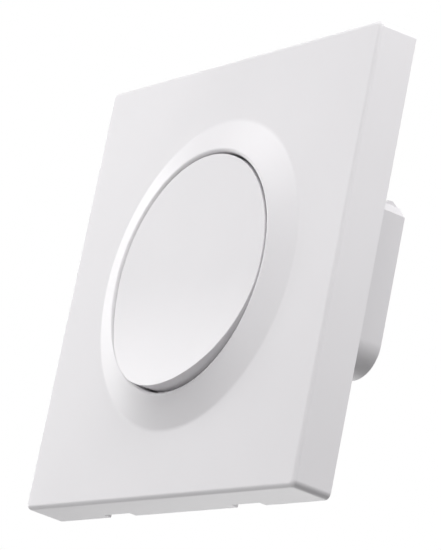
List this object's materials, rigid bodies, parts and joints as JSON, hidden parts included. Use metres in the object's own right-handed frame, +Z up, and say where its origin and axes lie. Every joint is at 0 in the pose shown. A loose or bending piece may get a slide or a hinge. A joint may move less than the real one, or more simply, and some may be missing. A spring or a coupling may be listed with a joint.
{
  "type": "smart light switch",
  "caption": "Square white wall switch with a raised round collar, a dished press paddle and a shallow relay housing behind the plate.",
  "frame": {"origin": "centre of the plate on the wall plane", "axes": "+X right, +Y into the wall, +Z up; the plate's front faces -Y"},
  "size_m": [0.086, 0.0308, 0.086],
  "materials": {
    "cover_white": "satin",
    "paddle_white": "satin",
    "tray_plastic": "fine matt",
    "frame_plastic": "fine matt",
    "housing_white": "fine matt",
    "control_laminate": "solder mask",
    "switch_black": "matt",
    "plunger_plastic": "matt",
    "radio_laminate": "solder mask",
    "shield_tin": "tinned",
    "chip_black": "matt",
    "link_plastic": "matt",
    "power_laminate": "solder mask",
    "relay_case": "moulded",
    "transformer_tape": "tape",
    "capacitor_sleeve": "shrink sleeve",
    "varistor_coat": "dipped",
    "fuse_coat": "dipped",
    "rectifier_black": "matt",
    "choke_sleeve": "shrink sleeve",
    "bumper_rubber": "matt",
    "terminal_brass": "turned",
    "clamp_steel": "zinc plated",
    "case_steel": "zinc plated"
  },
  "bodies": {
    "base": {"front_cover": "cover_white", "mounting_frame": "frame_plastic", "rear_housing": "housing_white", "control_board": "control_laminate", "push_switch": "switch_black", "radio_board": "radio_laminate", "radio_shield": "shield_tin", "controller_chip": "chip_black", "board_link": "link_plastic", "power_board": "power_laminate", "relay": "relay_case", "transformer": "transformer_tape", "filter_capacitor": "capacitor_sleeve", "varistor": "varistor_coat", "fuse_resistor": "fuse_coat", "rectifier": "rectifier_black", "choke": "choke_sleeve", "bumper_left": "bumper_rubber", "bumper_right": "bumper_rubber", "terminal_1": "terminal_brass", "clamp_screw_1": "clamp_steel", "case_screw_1": "case_steel", "terminal_2": "terminal_brass", "clamp_screw_2": "clamp_steel", "case_screw_2": "case_steel", "terminal_3": "terminal_brass", "clamp_screw_3": "clamp_steel", "case_screw_3": "case_steel", "terminal_4": "terminal_brass", "clamp_screw_4": "clamp_steel", "case_screw_4": "case_steel"},
    "rocker": {"rocker_cap": "paddle_white", "rocker_tray": "tray_plastic"},
    "plunger": {"push_plunger": "plunger_plastic"}
  },
  "joints": [
    {"name": "rocker_press", "type": "hinge", "parent": "base", "child": "rocker", "pos_m": [0, -0.0042, 0.018], "axis": [1, 0, 0], "range_deg": [0, 1], "stiffness_Nm_per_rad": 1.2, "springref_deg": -1.72},
    {"name": "plunger_press", "type": "slide", "parent": "base", "child": "plunger", "axis": [0, 1, 0], "range_m": [0, 0.0004]}
  ],
  "couplings": [
    {"joint": "plunger_press", "follows": "rocker_press", "m_per_rad": 0.0215}
  ]
}
